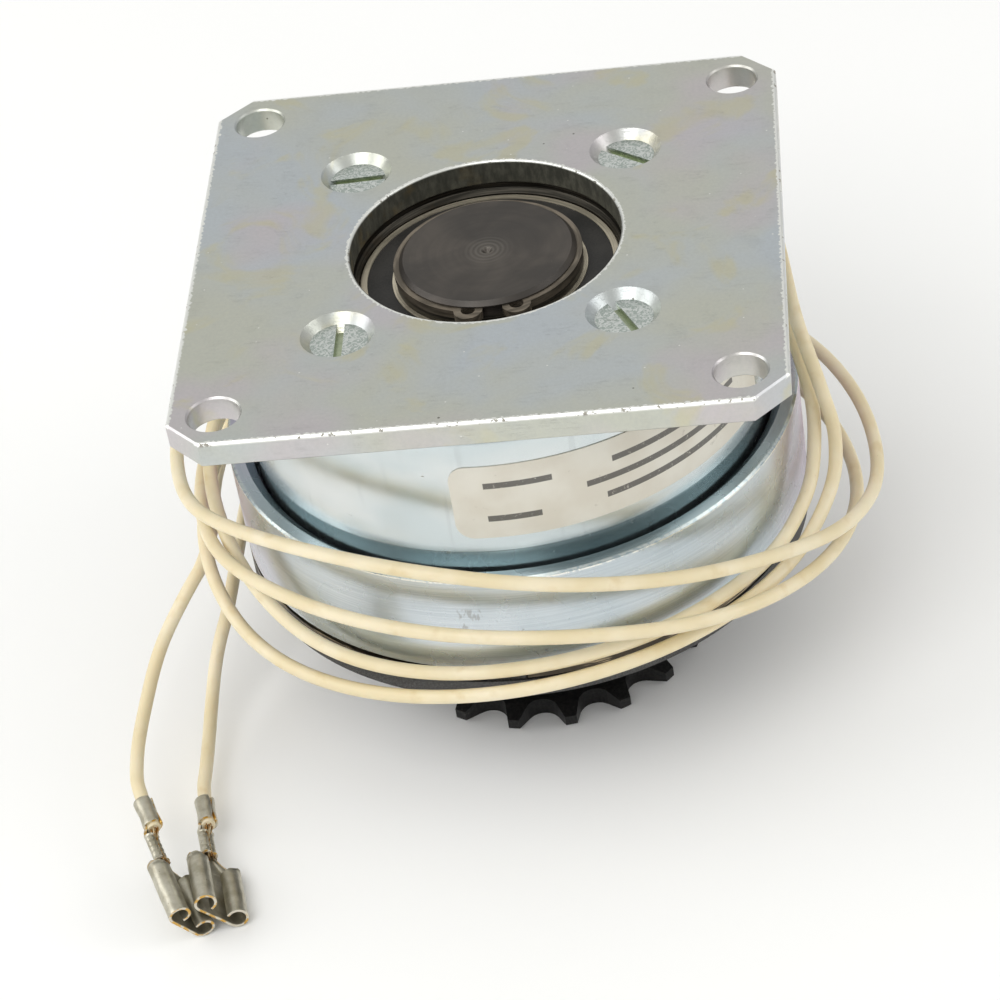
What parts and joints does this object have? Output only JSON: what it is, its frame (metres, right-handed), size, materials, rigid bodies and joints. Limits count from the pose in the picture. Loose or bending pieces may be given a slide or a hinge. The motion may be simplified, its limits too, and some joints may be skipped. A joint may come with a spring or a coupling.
{
  "type": "electromagnetic clutch",
  "caption": "Flange-mounted electromagnetic clutch: square plate, coil field, rotor on a bored shaft, sliding armature and a driven chain sprocket, with wound leads and push-on terminals.",
  "frame": {"origin": "centre of the square plate's top (mounting) face, on the shaft's axis", "axes": "+Z along the shaft, out of the plate's top face; X and Y along the plate's sides; the sprocket is at -Z"},
  "size_m": [0.1112, 0.1107, 0.071],
  "materials": {
    "zinc_plate": "bright zinc plating, satin",
    "zinc_screw": "bright zinc plating",
    "zinc_field": "bright zinc plating, smooth",
    "zinc_rotor": "bright zinc plating, turned lines",
    "pole_steel": "plain steel, oiled",
    "bobbin_nylon": "moulded nylon",
    "enamelled_copper": "enamelled copper wire",
    "coil_tape": "amber polyester tape",
    "potting_resin": "cast resin",
    "black_rubber": "nitrile rubber, dull",
    "label_film": "blank off-white film",
    "bearing_steel": "ground bearing steel",
    "cage_steel": "pressed steel",
    "black_oxide_shaft": "black oxide, turned",
    "ring_steel": "phosphated spring steel",
    "friction_material": "moulded friction material",
    "armature_steel": "bare steel, light rust",
    "phosphated_steel": "phosphated, matt dark grey",
    "spring_steel": "blued spring steel",
    "black_oxide_sprocket": "black oxide, satin",
    "ivory_insulation": "ivory wire insulation",
    "tinned_brass": "tin-plated brass, dull"
  },
  "bodies": {
    "field": {"mounting_plate": "zinc_plate", "plate_screws": "zinc_screw", "field_shell": "zinc_field", "field_inner_pole": "pole_steel", "coil_bobbin": "bobbin_nylon", "coil_winding": "enamelled_copper", "coil_tape": "coil_tape", "coil_potting": "potting_resin", "lead_grommet": "black_rubber", "rating_label": "label_film", "upper_field_bearing_outer_race": "bearing_steel", "upper_field_bearing_seals": "black_rubber", "lower_field_bearing_outer_race": "bearing_steel", "lower_field_bearing_seals": "black_rubber", "lead_wire_1": "ivory_insulation", "lead_wire_2": "ivory_insulation", "terminal_1": "tinned_brass", "terminal_2": "tinned_brass"},
    "rotor_assembly": {"rotor_shaft": "black_oxide_shaft", "rotor": "zinc_rotor", "friction_facing": "friction_material", "upper_retaining_ring": "ring_steel", "ring_spacer": "black_oxide_shaft", "bearing_spacer": "black_oxide_shaft", "upper_field_bearing_inner_race": "bearing_steel", "lower_field_bearing_inner_race": "bearing_steel", "upper_hub_bearing_inner_race": "bearing_steel", "lower_hub_bearing_inner_race": "bearing_steel", "hub_bearing_spacer": "black_oxide_shaft", "lower_washer": "black_oxide_shaft", "lower_retaining_ring": "ring_steel"},
    "sprocket_assembly": {"sprocket_hub": "black_oxide_sprocket", "driver_disc": "phosphated_steel", "driver_rivets": "armature_steel", "return_springs": "spring_steel", "upper_hub_bearing_outer_race": "bearing_steel", "upper_hub_bearing_seals": "black_rubber", "lower_hub_bearing_outer_race": "bearing_steel", "lower_hub_bearing_seals": "black_rubber"},
    "armature_assembly": {"armature": "armature_steel", "armature_rivets": "armature_steel"},
    "field_bearing_balls": {"upper_field_bearing_balls": "bearing_steel", "upper_field_bearing_cage": "cage_steel", "lower_field_bearing_balls": "bearing_steel", "lower_field_bearing_cage": "cage_steel"},
    "hub_bearing_balls": {"upper_hub_bearing_balls": "bearing_steel", "upper_hub_bearing_cage": "cage_steel", "lower_hub_bearing_balls": "bearing_steel", "lower_hub_bearing_cage": "cage_steel"}
  },
  "joints": [
    {"name": "rotor_spin", "type": "hinge", "parent": "field", "child": "rotor_assembly", "pos_m": [0, 0, 0], "axis": [0, 0, 1], "continuous": true},
    {"name": "sprocket_spin", "type": "hinge", "parent": "rotor_assembly", "child": "sprocket_assembly", "pos_m": [0, 0, 0], "axis": [0, 0, 1], "continuous": true},
    {"name": "armature_slide", "type": "slide", "parent": "sprocket_assembly", "child": "armature_assembly", "axis": [0, 0, 1], "range_m": [0, 0.0004], "stiffness_N_per_m": 6000, "springref_m": -0.0002, "deforming": ["return_springs"]},
    {"name": "field_bearing_roll", "type": "hinge", "parent": "field", "child": "field_bearing_balls", "pos_m": [0, 0, 0], "axis": [0, 0, 1], "continuous": true},
    {"name": "hub_bearing_roll", "type": "hinge", "parent": "rotor_assembly", "child": "hub_bearing_balls", "pos_m": [0, 0, 0], "axis": [0, 0, 1], "continuous": true}
  ],
  "couplings": [
    {"joint": "field_bearing_roll", "follows": "rotor_spin", "ratio": 0.4357},
    {"joint": "hub_bearing_roll", "follows": "sprocket_spin", "ratio": 0.5766}
  ]
}
